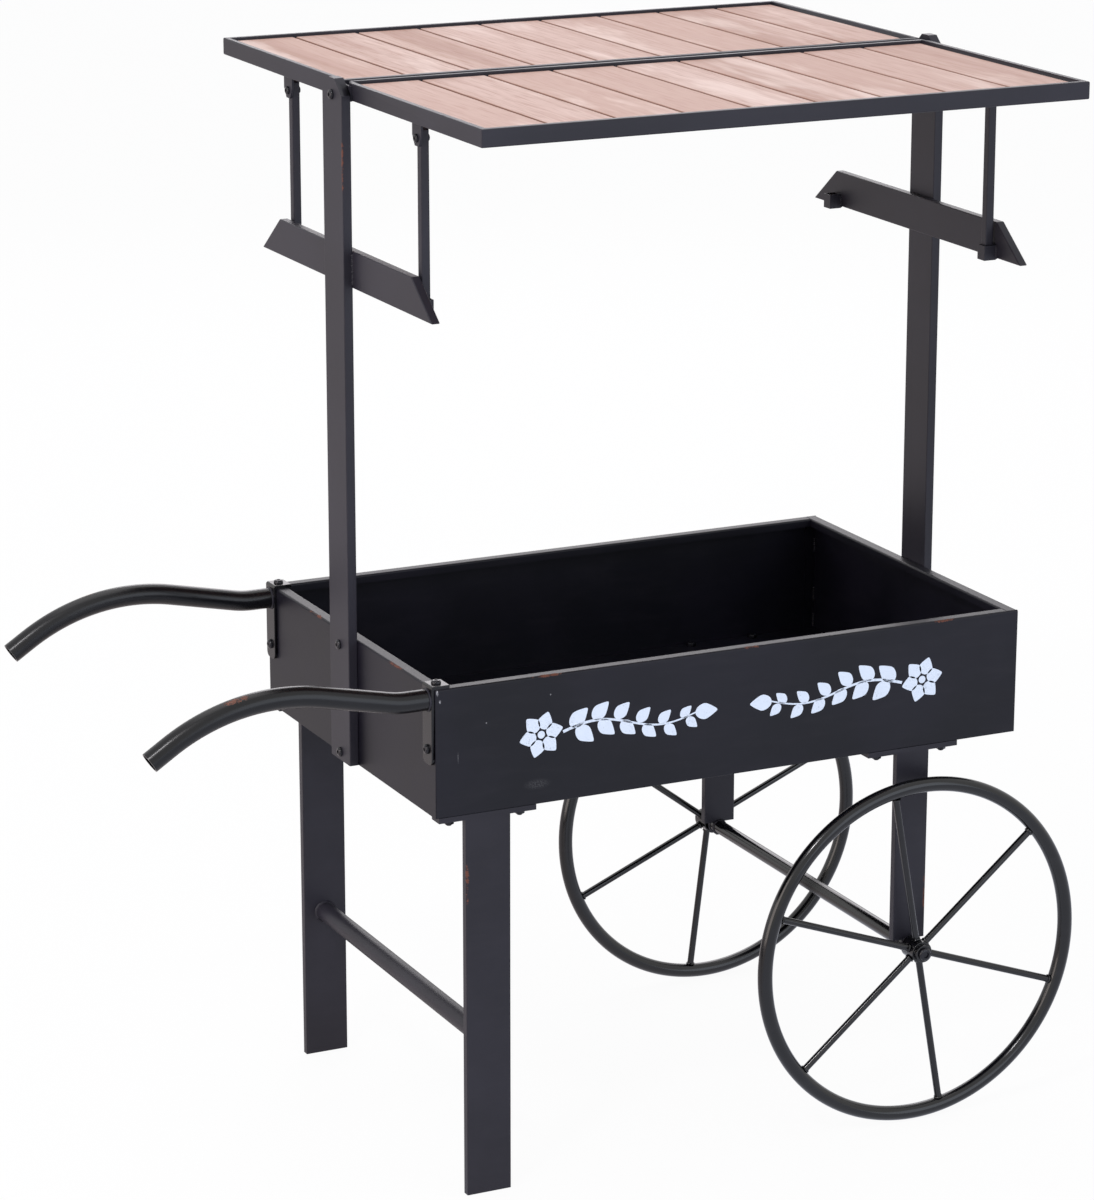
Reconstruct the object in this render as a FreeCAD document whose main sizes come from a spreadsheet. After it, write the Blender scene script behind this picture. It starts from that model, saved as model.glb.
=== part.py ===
import FreeCAD, Part
import os
import Sketcher
from math import cos, radians, sin
from FreeCAD import Placement, Rotation, Vector

# Flower cart stand: a sheet tray on two tall legs and two spoked wheels, with
# two pull handles and two posts that carry a hinged two-panel slatted top.
# X runs from the handles to the wheels, Y from front to back, Z up.
# The origin is on the floor, under the middle of the outline.

sizes = {
    # sheet tray
    "trayLength": 602, "trayDepth": 392, "trayHeight": 120, "trayBottom": 368,
    "sheet": 1.5, "rimFlange": 12, "rimLip": 8, "foldRadius": 2, "cornerFlange": 13,
    # tall legs on the handle side, with the round bar between them
    "legWidth": 44, "legThick": 8, "legWall": 1.2, "legCentre": 51,
    "stretcherRadius": 9.5, "stretcherHeight": 148,
    # mounting plates on the leg tops
    "plateLength": 96, "plateDepth": 16, "plateThick": 5, "plateBoltSpacing": 70,
    # short legs over the axle
    "shortLegWidth": 34, "axleInset": 111, "axleRadius": 7, "coping": 1.5,
    # wheels
    "wheelRadius": 171, "rimTube": 7, "rimSides": 10, "spokeRadius": 3.3, "spokeCount": 6,
    "frontSpokeAngle": 40, "backSpokeAngle": 23,
    "hubRadius": 10.5, "hubLength": 26, "hubNeck": 8.5, "hubStep": 4, "hubBore": 4.05, "spindleRadius": 4,
    "hubStandoff": 4, "endPlay": 0.3, "tapDepth": 10, "weldGap": 0.1,
    "capRadius": 6.2, "capHeight": 3.2,
    # posts and the cross arms on their inner faces
    "postWidth": 44, "postThick": 9, "postWall": 1.2, "postTop": 1005.5,
    "earTop": 12, "earDrop": 14, "postBoltInset": 8,
    "armHeight": 34, "armBottom": 817.5, "armTopHalf": 151, "armBottomHalf": 194.5,
    "armThick": 8.5, "armRound": 3,
    # cups on the arms that take the feet of the props
    "cup": 12.6, "cupWall": 1, "cupHeight": 14, "cupLift": -1.5, "cupFloor": 1.5,
    # hinged top: welded frames, their hinge lugs and the slats on their ledges
    "roofTop": 1002, "panelDepth": 290, "ridgeGap": 6, "frameWidth": 6, "frameHeight": 16,
    "pivotDrop": 11.5, "postGap": 2.6, "lugThick": 2, "lugRadius": 9, "lugReach": 20,
    "sideGap": 0.1, "ledge": 8, "ledgeThick": 2,
    "slatCount": 9, "slatGap": 3.2, "slatThick": 11, "slatEase": 0.8, "slatEndGap": 0.5,
    # props and the tabs they swing on
    "prop": 8, "propPitch": 292, "propHead": 9, "tabWidth": 19, "tabHeight": 21,
    "tabThick": 2, "tabTip": 8, "tabShoulder": 12, "propPivotDrop": 14, "footGap": 0.3,
    # pull handles and their strap brackets
    "handleRadius": 9.75, "handleSides": 12, "handleDrop": 11,
    "handleRiseAngle": 12, "handleDroopAngle": 33, "handleStub": 19, "handleRamp": 65,
    "handleBow": 190, "handleEase": 90, "handleTip": 21,
    "strapWidth": 20, "strapInset": 1.5, "strapThick": 3, "strapDrop": 71, "strapTop": 15, "strapRound": 6,
    "strapLowBolt": 14, "strapBoltRadius": 2, "strapNutRadius": 4,
    # fasteners
    "boltRadius": 2.5, "headRadius": 4.6, "headHeight": 3, "nutHeight": 3.5,
    "pinRadius": 2, "runningFit": 0.05,
}

doc = FreeCAD.newDocument("FlowerCart")
sheet = doc.addObject("Spreadsheet::Sheet", "Sizes")
for line, (alias, number) in enumerate(sizes.items(), 1):
    sheet.set("A%d" % line, alias)
    sheet.set("B%d" % line, str(number))
    sheet.setAlias("B%d" % line, alias)
doc.recompute()


class Size:
    # a length or angle that keeps both its number and its formula on the sheet
    def __init__(self, number, text=None):
        self.number = float(number)
        self.text = text or repr(float(number))

    def join(self, other, sign, number):
        return Size(number, "(%s %s %s)" % (self.text, sign, other.text))

    def __add__(self, other):
        other = size(other)
        return self.join(other, "+", self.number + other.number)

    def __sub__(self, other):
        other = size(other)
        return self.join(other, "-", self.number - other.number)

    def __mul__(self, other):
        other = size(other)
        return self.join(other, "*", self.number * other.number)

    def __truediv__(self, other):
        other = size(other)
        return self.join(other, "/", self.number / other.number)

    def __rtruediv__(self, other):
        return size(other) / self

    def __radd__(self, other):
        return size(other) + self

    def __rsub__(self, other):
        return size(other) - self

    def __rmul__(self, other):
        return size(other) * self

    def __neg__(self):
        return Size(-self.number, "(-1 * %s)" % self.text)


def size(value):
    return value if isinstance(value, Size) else Size(value)


def sine(angle):
    return Size(sin(radians(angle.number)), "sin(%s)" % angle.text)


def cosine(angle):
    return Size(cos(radians(angle.number)), "cos(%s)" % angle.text)


def cell(alias):
    return Size(sizes[alias], "Sizes." + alias)


def bind(target, name, value):
    # fixes one property or constraint to its formula on the sheet
    target.setExpression(name, size(value).text)


# values that several pieces share
length, depth, sheetThick = cell("trayLength"), cell("trayDepth"), cell("sheet")
axleCentre = length - cell("axleInset")
trayBottom = cell("trayBottom")
trayTop = trayBottom + cell("trayHeight")
halfDepth = depth / 2
wheelCentre = cell("wheelRadius")
rimCircle = cell("wheelRadius") - cell("rimTube")
pivotHeight = cell("roofTop") - cell("pivotDrop")
frameBottom = cell("pivotDrop") - cell("frameHeight")
halfPanel = length / 2 - cell("postGap")
propSide = cell("armThick") + cell("cup") / 2
pivotBelow = frameBottom - cell("propPivotDrop")
cupBase = cell("armBottom") + cell("cupLift")
footHeight = cupBase + cell("cupFloor") + cell("footGap")
propReach = pivotHeight + pivotBelow - footHeight
handleEnd = -cell("strapThick")
rampStart = handleEnd - cell("handleStub")

# pull handle centreline, from the strap outwards: stub, ease, ramp, bow, tip
rise, droop = cell("handleRiseAngle"), cell("handleDroopAngle")
ease, bow = cell("handleEase"), cell("handleBow")
path = [(handleEnd, size(0)), (rampStart, size(0))]
path.append((rampStart - ease * sine(rise), ease - ease * cosine(rise)))
path.append((path[2][0] - cell("handleRamp") * cosine(rise),
             path[2][1] + cell("handleRamp") * sine(rise)))
path.append((path[3][0] - bow * (sine(rise) + sine(droop)),
             path[3][1] + bow * (cosine(droop) - cosine(rise))))
path.append((path[4][0] - cell("handleTip") * cosine(droop),
             path[4][1] - cell("handleTip") * sine(droop)))
handleReach = path[5][0] - cell("handleRadius") * sine(droop)

# tray's handle end, measured from the middle of the whole outline
trayLeft = -(handleReach + axleCentre + cell("wheelRadius")) / 2
middle = trayLeft + length / 2


def plane(body, role):
    return next(item for item in body.Origin.OriginFeatures if item.Role == role)


def newBody(label, x=0, y=0, z=0, turn=None):
    body = doc.addObject("PartDesign::Body", label)
    body.Label = label
    body.Placement = Placement(Vector(), turn or Rotation())
    for axis, value in zip("xyz", (x, y, z)):
        bind(body, "Placement.Base." + axis, value)
    return body


def newSketch(body, name, role="XY_Plane", offset=0):
    sketch = body.newObject("Sketcher::SketchObject", name)
    sketch.AttachmentSupport = [(plane(body, role), "")]
    sketch.MapMode = "FlatFace"
    bind(sketch, "AttachmentOffset.Base.z", offset)
    return sketch


def point(sketch, index, place, x, y):
    for kind, value in (("DistanceX", x), ("DistanceY", y)):
        value = size(value)
        rule = sketch.addConstraint(Sketcher.Constraint(kind, index, place, value.number))
        bind(sketch, "Constraints[%d]" % rule, value)


def outline(sketch, corners):
    corners = [(size(x), size(y)) for x, y in corners]
    spots = [Vector(x.number, y.number, 0) for x, y in corners]
    first = sketch.GeometryCount
    count = len(spots)
    for step in range(count):
        sketch.addGeometry(Part.LineSegment(spots[step], spots[(step + 1) % count]))
    for step in range(count):
        follow = first + (step + 1) % count
        sketch.addConstraint(Sketcher.Constraint("Coincident", first + step, 2, follow, 1))
        point(sketch, first + step, 1, *corners[step])


def chain(sketch, corners):
    # open run of straight lines, every end held by its own place
    for a, b in zip(corners, corners[1:]):
        line = Part.LineSegment(Vector(a[0].number, a[1].number, 0), Vector(b[0].number, b[1].number, 0))
        index = sketch.addGeometry(line)
        point(sketch, index, 1, *a)
        point(sketch, index, 2, *b)


def bend(sketch, x, y, radius, start, end, first, last):
    # arc about (x, y) between two angles, its ends held by their places along x
    ring = Part.Circle(Vector(x.number, y.number, 0), Vector(0, 0, 1), radius.number)
    arc = Part.ArcOfCircle(ring, radians(start.number), radians(end.number))
    index = sketch.addGeometry(arc)
    point(sketch, index, 3, x, y)
    rule = sketch.addConstraint(Sketcher.Constraint("Radius", index, radius.number))
    bind(sketch, "Constraints[%d]" % rule, radius)
    for place, spot in ((1, first), (2, last)):
        rule = sketch.addConstraint(Sketcher.Constraint("DistanceX", index, place, spot[0].number))
        bind(sketch, "Constraints[%d]" % rule, spot[0])


def rectangle(sketch, x0, y0, x1, y1):
    outline(sketch, [(x0, y0), (x1, y0), (x1, y1), (x0, y1)])


def circle(sketch, x, y, radius):
    x, y, radius = size(x), size(y), size(radius)
    ring = Part.Circle(Vector(x.number, y.number, 0), Vector(0, 0, 1), radius.number)
    index = sketch.addGeometry(ring)
    point(sketch, index, 3, x, y)
    rule = sketch.addConstraint(Sketcher.Constraint("Radius", index, radius.number))
    bind(sketch, "Constraints[%d]" % rule, radius)


def pad(body, sketch, distance, reverse=False):
    feature = body.newObject("PartDesign::Pad", sketch.Name + "Pad")
    feature.Profile = sketch
    feature.Reversed = reverse
    bind(feature, "Length", distance)
    return feature


def pocket(body, sketch, distance, reverse=False):
    # the cut is compared with what it was taken from: an empty cut is an error
    doc.recompute()
    before = body.Shape.Volume
    feature = body.newObject("PartDesign::Pocket", sketch.Name + "Pocket")
    feature.Profile = sketch
    feature.Reversed = reverse
    bind(feature, "Length", distance)
    doc.recompute()
    if before - body.Shape.Volume < 0.5:
        raise ValueError("%s cuts nothing" % feature.Label)
    return feature


def edgesWhere(shape, test):
    return ["Edge%d" % (n + 1) for n, edge in enumerate(shape.Edges) if test(edge)]


def runsAlong(edge, axis, least=0):
    box = edge.BoundBox
    spans = {"x": box.XLength, "y": box.YLength, "z": box.ZLength}
    return all(spans[key] > least if key == axis else spans[key] < 1e-6 for key in spans)


def roundEdges(body, name, test, radius, kind="Fillet"):
    doc.recompute()
    base = body.Tip
    feature = body.newObject("PartDesign::" + kind, name)
    feature.Base = (base, edgesWhere(base.Shape, test))
    bind(feature, "Radius" if kind == "Fillet" else "Size", radius)
    return feature


def corners(count, radius, x=0, y=0):
    # the corners of an even-sided section, with a flat at each end along x
    turns = [radians(360 / count * (step + 0.5)) for step in range(count)]
    return [(x + size(radius) * cos(turn), y + size(radius) * sin(turn)) for turn in turns]


def prism(count, radius, base, height):
    spots = [Vector(x.number, y.number, base) for x, y in corners(count, radius)]
    return Part.Face(Part.makePolygon(spots + spots[:1])).extrude(Vector(0, 0, height))


def domeBolt(headRadius, headHeight, shankRadius, reach, endRadius=0, endHeight=0, sides=0):
    # head above z = 0, shank down to -reach, then a nut or a closing head
    skirt = headHeight * 0.6
    bolt = prism(12, headRadius, 0, skirt).fuse(prism(12, headRadius * 0.7, skirt, headHeight - skirt))
    bolt = bolt.fuse(prism(8, shankRadius, 0, -reach - endHeight))
    if sides:
        bolt = bolt.fuse(prism(sides, endRadius, -reach, -endHeight))
    return bolt.removeSplitter()


def placed(shape, x, y, z, towards):
    copy = shape.copy()
    spot = Vector(*(size(value).number for value in (x, y, z)))
    copy.Placement = Placement(spot, Rotation(Vector(0, 0, 1), Vector(*towards)))
    return copy


def group(label, shapes):
    # loose pieces of one kind that share a name, each its own solid
    feature = doc.addObject("Part::Feature", label)
    feature.Label = label
    feature.Shape = Part.makeCompound(shapes)
    feature.Placement = Placement()
    return feature


parts = []
half = Rotation(Vector(0, 0, 1), 180)

# ---- tray -----------------------------------------------------------------
boltX = [cell("legCentre") - cell("plateBoltSpacing") / 2, cell("legCentre") + cell("plateBoltSpacing") / 2,
         axleCentre - cell("plateBoltSpacing") / 2, axleCentre + cell("plateBoltSpacing") / 2]
boltY = halfDepth - cell("plateDepth") / 2
rimDepth, rimDrop = cell("rimFlange"), cell("rimLip")
wallHeight = cell("trayHeight")
strapBoltX = cell("rimFlange") / 2
strapY = halfDepth - cell("strapInset") - cell("strapWidth") / 2
strapLow = trayTop - cell("strapDrop") + cell("strapLowBolt")
postBolts = [trayBottom + cell("postBoltInset"), trayTop - cell("postBoltInset")]


def trayFloor():
    body = newBody("tray_floor", trayLeft, 0, trayBottom)
    base = newSketch(body, "FloorPlan")
    rectangle(base, sheetThick, sheetThick - halfDepth, length - sheetThick, halfDepth - sheetThick)
    pad(body, base, sheetThick)
    holes = newSketch(body, "FloorHoles")
    for x in boltX:
        for y in (-boltY, boltY):
            circle(holes, x, y, cell("boltRadius"))
    pocket(body, holes, sheetThick * 2, True)
    return body


def rimProfile(sketch):
    # upright sheet, folded in at the top and turned down again
    outline(sketch, [(0, 0), (sheetThick, 0), (sheetThick, wallHeight - sheetThick),
                     (rimDepth - sheetThick, wallHeight - sheetThick),
                     (rimDepth - sheetThick, wallHeight - rimDrop),
                     (rimDepth, wallHeight - rimDrop), (rimDepth, wallHeight), (0, wallHeight)])


def roundFolds(body, label, axis):
    roundEdges(body, label + "Folds", lambda edge: runsAlong(edge, axis, 1)
               and edge.BoundBox.ZMin > wallHeight.number - 0.01, cell("foldRadius"))


def longWall(label, back):
    # the outer face is at local y = 0 and the sheet folds towards +y
    x = trayLeft + length if back else trayLeft
    body = newBody(label, x, halfDepth if back else -halfDepth, trayBottom, half if back else None)
    profile = newSketch(body, label + "Profile", "YZ_Plane")
    rimProfile(profile)
    pad(body, profile, length)
    roundFolds(body, label, "x")
    # the folds stop short at both ends, where the end walls' folds run through
    notch = newSketch(body, label + "Notch", "XY_Plane", wallHeight - rimDrop)
    for start in (size(0), length - rimDepth):
        rectangle(notch, start, sheetThick, start + rimDepth, rimDepth)
    pocket(body, notch, rimDrop, True)
    return body


def endWall(label, right):
    # the outer face is at local x = 0 and the sheet folds towards +x
    x = trayLeft + length if right else trayLeft
    body = newBody(label, x, 0, trayBottom, half if right else None)
    span = halfDepth - sheetThick
    profile = newSketch(body, label + "Profile", "XZ_Plane", -span)
    rimProfile(profile)
    pad(body, profile, span * 2)
    roundFolds(body, label, "y")
    # corner flanges, folded back along the long walls
    flanges = newSketch(body, label + "Flanges", "XY_Plane", sheetThick)
    for y in (-span, span - sheetThick):
        rectangle(flanges, 0, y, cell("cornerFlange"), y + sheetThick)
    pad(body, flanges, wallHeight - rimDrop - sheetThick)
    holes = newSketch(body, label + "Holes", "YZ_Plane")
    for z in postBolts:
        circle(holes, 0, z - trayBottom, cell("boltRadius"))
    if not right:
        for y in (-strapY, strapY):
            circle(holes, y, strapLow - trayBottom, cell("strapBoltRadius"))
    pocket(body, holes, sheetThick, True)
    if not right:
        upper = newSketch(body, label + "TopHoles", "XY_Plane", wallHeight - sheetThick)
        for y in (-strapY, strapY):
            circle(upper, strapBoltX, y, cell("strapBoltRadius"))
        pocket(body, upper, sheetThick, True)
    return body


parts += [trayFloor(), longWall("tray_front_wall", False), longWall("tray_back_wall", True)]
parts += [endWall("tray_left_end", False), endWall("tray_right_end", True)]

# ---- legs, stretcher and axle ---------------------------------------------
plateBase = trayBottom - cell("plateThick")


def leg(label, centre, width, bottom, back, coped):
    # the outer face is at local y = 0; the plate on top is bolted under the tray
    body = newBody(label, trayLeft + centre, halfDepth if back else -halfDepth, 0, half if back else None)
    section = newSketch(body, label + "Section", "XY_Plane", bottom)
    rectangle(section, -width / 2, 0, width / 2, cell("legThick"))
    pad(body, section, plateBase - bottom)
    plate = newSketch(body, label + "Plate", "XY_Plane", plateBase)
    rectangle(plate, -cell("plateLength") / 2, 0, cell("plateLength") / 2, cell("plateDepth"))
    pad(body, plate, cell("plateThick"))
    holes = newSketch(body, label + "Holes", "XY_Plane", plateBase)
    for side in (-1, 1):
        circle(holes, side * cell("plateBoltSpacing") / 2, cell("plateDepth") / 2, cell("boltRadius"))
    pocket(body, holes, cell("plateThick") * 2, True)
    wall = cell("legWall")
    bore = newSketch(body, label + "Bore", "XY_Plane", bottom)
    rectangle(bore, wall - width / 2, wall, width / 2 - wall, cell("legThick") - wall)
    pocket(body, bore, plateBase - bottom - wall, True)
    if coped:
        cope = newSketch(body, label + "Cope", "XZ_Plane")
        circle(cope, 0, wheelCentre, cell("axleRadius"))
        pocket(body, cope, cell("legThick") + 1, False)
    return body


legSpots = [("leg_front_left", False), ("leg_back_left", True)]
for label, back in legSpots:
    parts.append(leg(label, cell("legCentre"), cell("legWidth"), size(0), back, False))
shortBottom = wheelCentre + cell("axleRadius") - cell("coping")
for label, back in (("leg_front_right", False), ("leg_back_right", True)):
    parts.append(leg(label, axleCentre, cell("shortLegWidth"), shortBottom, back, True))


def turned(label, x, z, corners, turn=None, y=0):
    # a solid of revolution about its own local Y axis
    body = newBody(label, x, y, z, turn)
    profile = newSketch(body, label + "Profile", "XY_Plane")
    outline(profile, corners)
    feature = body.newObject("PartDesign::Revolution", label + "Turn")
    feature.Profile = profile
    feature.ReferenceAxis = (profile, ["V_Axis"])
    feature.Angle = 360
    return body


bar = halfDepth - cell("legThick")
parts.append(turned("leg_stretcher", trayLeft + cell("legCentre"), cell("stretcherHeight"),
                    [(0, -bar), (cell("stretcherRadius"), -bar), (cell("stretcherRadius"), bar), (0, bar)]))
hubInner = halfDepth + cell("hubStandoff")
shoulder = hubInner - cell("endPlay")
spindleEnd = hubInner + cell("hubLength") + cell("endPlay")
thick, thin, tap = cell("axleRadius"), cell("spindleRadius"), cell("pinRadius")
tapEnd = spindleEnd - cell("tapDepth")
parts.append(turned("wheel_axle", trayLeft + axleCentre, wheelCentre, [
    (0, -tapEnd), (tap, -tapEnd), (tap, -spindleEnd), (thin, -spindleEnd), (thin, -shoulder),
    (thick, -shoulder), (thick, shoulder), (thin, shoulder), (thin, spindleEnd),
    (tap, spindleEnd), (tap, tapEnd), (0, tapEnd)]))

# ---- wheels ---------------------------------------------------------------
wheelX = trayLeft + axleCentre
wheelY = hubInner + cell("hubLength") / 2


def hub(label, side):
    # a turned sleeve with a narrower neck at its outer end
    bore, outer, neck = cell("hubBore"), cell("hubRadius"), cell("hubNeck")
    reach = cell("hubLength") / 2
    step = reach - cell("hubStep")
    corners = [(bore, -reach), (outer, -reach), (outer, step), (neck, step), (neck, reach), (bore, reach)]
    return turned(label, wheelX, wheelCentre, [(x, side * y) for x, y in corners], None, side * wheelY)


def rim(label, side):
    body = newBody(label, wheelX, side * wheelY, wheelCentre)
    section = newSketch(body, label + "Section", "XY_Plane")
    outline(section, corners(sizes["rimSides"], cell("rimTube") / cosine(180 / cell("rimSides")), rimCircle))
    feature = body.newObject("PartDesign::Revolution", label + "Turn")
    feature.Profile = section
    feature.ReferenceAxis = (section, ["V_Axis"])
    feature.Angle = 360
    return body


def spokes(label, side, turn):
    inner = cell("hubRadius").number
    outer = (rimCircle - cell("rimTube") - cell("weldGap")).number
    count = int(cell("spokeCount").number)
    pieces = []
    for step in range(count):
        angle = radians(turn.number + 360 / count * step)
        way = Vector(cos(angle), 0, sin(angle))
        centre = Vector(wheelX.number, side * wheelY.number, wheelCentre.number)
        pieces.append(Part.makeCylinder(cell("spokeRadius").number, outer - inner,
                                        centre + way * inner, way))
    return group(label, pieces)


for name, side, turn in (("front", -1, cell("frontSpokeAngle")), ("back", 1, cell("backSpokeAngle"))):
    parts += [rim("wheel_rim_" + name, side), spokes("wheel_spokes_" + name, side, turn),
              hub("wheel_hub_" + name, side)]
wheelBolt = domeBolt(cell("capRadius").number, cell("capHeight").number, cell("pinRadius").number,
                     cell("tapDepth").number - 0.5)
parts.append(group("wheel_bolts", [placed(wheelBolt, wheelX, side * spindleEnd, wheelCentre, (0, side, 0))
                                   for side in (-1, 1)]))

# ---- posts and cross arms -------------------------------------------------


def post(label, right):
    # the inner face is at local x = 0 and the post lies towards -x
    body = newBody(label, trayLeft + length if right else trayLeft, 0, 0, half if right else None)
    wide, top = cell("postWidth") / 2, cell("postTop")
    ear, drop = cell("earTop") / 2, cell("earDrop")
    profile = newSketch(body, label + "Profile", "YZ_Plane", -cell("postThick"))
    outline(profile, [(-wide, trayBottom), (wide, trayBottom), (wide, top - drop), (ear, top),
                      (-ear, top), (-wide, top - drop)])
    pad(body, profile, cell("postThick"))
    wall = cell("postWall")
    bore = newSketch(body, label + "Bore", "XY_Plane", trayBottom)
    rectangle(bore, wall - cell("postThick"), wall - wide, -wall, wide - wall)
    pocket(body, bore, pivotHeight - trayBottom - 12, True)
    holes = newSketch(body, label + "Holes", "YZ_Plane", -cell("postThick"))
    for z in postBolts + [pivotHeight]:
        circle(holes, 0, z, cell("boltRadius"))
    pocket(body, holes, cell("postThick"), True)
    return body


def arm(label, right):
    # the outer face is at local x = 0, against the post
    body = newBody(label, trayLeft + length if right else trayLeft, 0, 0, half if right else None)
    low, high = cell("armBottom"), cell("armBottom") + cell("armHeight")
    profile = newSketch(body, label + "Profile", "YZ_Plane")
    outline(profile, [(-cell("armBottomHalf"), low), (cell("armBottomHalf"), low),
                      (cell("armTopHalf"), high), (-cell("armTopHalf"), high)])
    pad(body, profile, cell("armThick"))
    roundEdges(body, label + "Corners", lambda edge: runsAlong(edge, "x", 1)
               and edge.BoundBox.ZMin > high.number - 0.01, cell("armRound"))
    return body


parts += [post("post_left", False), post("post_right", True)]
parts += [arm("cross_arm_left", False), arm("cross_arm_right", True)]

cup, wall = cell("cup").number, cell("cupWall").number
cupBlock = Part.makeBox(cup, cup, cell("cupHeight").number, Vector(-cup / 2, -cup / 2, 0))
cupSpace = Part.makeBox(cup - 2 * wall, cup - 2 * wall, cell("cupHeight").number,
                        Vector(wall - cup / 2, wall - cup / 2, cell("cupFloor").number))
cupShape = cupBlock.cut(cupSpace)
propX = [trayLeft + propSide, trayLeft + length - propSide]
propY = cell("propPitch") / 2
parts.append(group("prop_cups", [placed(cupShape, x, side * propY, cupBase, (0, 0, 1))
                                 for x in propX for side in (-1, 1)]))

# ---- hinged top -----------------------------------------------------------
near = cell("ridgeGap") / 2
far = near + cell("panelDepth")
frame = cell("frameWidth")


def roofFrame(label, front):
    # built as the back panel about the hinge axis; the front one is turned half round
    body = newBody(label, middle, 0, pivotHeight, half if front else None)
    reach = halfPanel if front else halfPanel - cell("sideGap")
    ring = newSketch(body, label + "Ring", "XY_Plane", frameBottom)
    rectangle(ring, -reach, near, reach, far)
    rectangle(ring, frame - reach, near + frame, reach - frame, far - frame)
    pad(body, ring, cell("frameHeight"))
    shelf = newSketch(body, label + "Ledge", "XY_Plane", frameBottom)
    inset = frame + cell("ledge")
    rectangle(shelf, frame - reach, near + frame, reach - frame, far - frame)
    rectangle(shelf, inset - reach, near + inset, reach - inset, far - inset)
    pad(body, shelf, cell("ledgeThick"))
    plate = cell("lugThick")
    eye = cell("lugRadius")
    if front:
        # room beside the hinge for the other panel's lugs
        notch = newSketch(body, label + "Notch", "XY_Plane", frameBottom)
        room = plate + 1.5
        for side in (-1, 1):
            rectangle(notch, side * (reach - room), near - 1, side * (reach + 1), eye + 3.5)
        pocket(body, notch, cell("frameHeight") + 1, True)
    for side in (-1, 1):
        start = reach if front else reach - plate
        start = start if side > 0 else -start - plate
        lug = newSketch(body, "%sLug%d" % (label, side), "YZ_Plane", start)
        lug.addGeometry(Part.Arc(Vector(0, eye.number, 0), Vector(-eye.number, 0, 0),
                                 Vector(0, -eye.number, 0)))
        rule = lug.addConstraint(Sketcher.Constraint("Radius", 0, eye.number))
        bind(lug, "Constraints[%d]" % rule, eye)
        point(lug, 0, 3, 0, 0)
        lug.addConstraint(Sketcher.Constraint("Vertical", 0, 3, 0, 1))
        lug.addConstraint(Sketcher.Constraint("Vertical", 0, 3, 0, 2))
        arm = cell("lugReach")
        chain(lug, [(size(0), eye), (arm, eye), (arm, frameBottom), (size(0), -eye)])
        pad(body, lug, plate)
    eyes = newSketch(body, label + "Eyes", "YZ_Plane", -reach - plate)
    circle(eyes, 0, 0, cell("boltRadius") + cell("runningFit"))
    pocket(body, eyes, (reach + plate) * 2, True)
    wide, tip = cell("tabWidth") / 2, cell("tabTip") / 2
    tabStart = length / 2 - (cell("armThick") + cell("cup") / 2 - cell("prop") / 2 - cell("sideGap"))
    for side in (-1, 1):
        start = tabStart if side > 0 else -tabStart - cell("tabThick")
        tab = newSketch(body, "%sTab%d" % (label, side), "YZ_Plane", start)
        top = frameBottom
        outline(tab, [(propY - wide, top), (propY - wide, top - cell("tabShoulder")),
                      (propY - tip, top - cell("tabHeight")), (propY + tip, top - cell("tabHeight")),
                      (propY + wide, top - cell("tabShoulder")), (propY + wide, top)])
        pad(body, tab, cell("tabThick"))
        hole = newSketch(body, "%sTabHole%d" % (label, side), "YZ_Plane", start)
        circle(hole, propY, pivotBelow, cell("pinRadius"))
        pocket(body, hole, cell("tabThick"), True)
    return body


def slats(name, front):
    side = -1 if front else 1
    inside = (halfPanel - cell("sideGap") - frame) * 2
    pitch = inside / cell("slatCount")
    start, end = near + frame + cell("slatEndGap"), far - frame - cell("slatEndGap")
    bottom = pivotHeight + frameBottom + cell("ledgeThick")
    ease, gap = cell("slatEase"), cell("slatGap")
    boards = []
    for step in range(int(cell("slatCount").number)):
        label = "slat_%s_%d" % (name, step + 1)
        x = middle - inside / 2 + pitch * step + gap / 2
        body = newBody(label, x, side * end if front else start, bottom)
        wide, thick = pitch - gap, cell("slatThick")
        profile = newSketch(body, label + "Profile", "XZ_Plane")
        outline(profile, [(0, 0), (wide, 0), (wide, thick - ease), (wide - ease, thick),
                          (ease, thick), (0, thick - ease)])
        pad(body, profile, end - start, True)
        boards.append(body)
    return boards


parts += [roofFrame("roof_frame_front", True), roofFrame("roof_frame_back", False)]
parts += slats("front", True) + slats("back", False)

# ---- props ----------------------------------------------------------------


def prop(label, right, back, stowed):
    # square bar hanging from its pivot; the stowed one is swung up towards the ridge
    x = propX[1] if right else propX[0]
    turn = Rotation(Vector(1, 0, 0), -90) if stowed else Rotation()
    body = newBody(label, x, propY if back else -propY, pivotHeight + pivotBelow, turn)
    side, head = cell("prop") / 2, cell("propHead")
    profile = newSketch(body, label + "Profile", "YZ_Plane", -side)
    ease = side * 0.6
    outline(profile, [(1 - side, -propReach), (side - 1, -propReach), (side, 1 - propReach),
                      (side, head - ease), (side - ease, head), (ease - side, head),
                      (-side, head - ease), (-side, 1 - propReach)])
    pad(body, profile, cell("prop"))
    hole = newSketch(body, label + "Hole", "YZ_Plane", -side)
    circle(hole, 0, 0, cell("pinRadius") + cell("runningFit"))
    pocket(body, hole, cell("prop"), True)
    return body


parts += [prop("prop_front_left", False, False, False), prop("prop_front_right", True, False, False),
          prop("prop_back_left", False, True, False), prop("prop_back_right", True, True, True)]

# ---- pull handles and their straps ----------------------------------------


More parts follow.
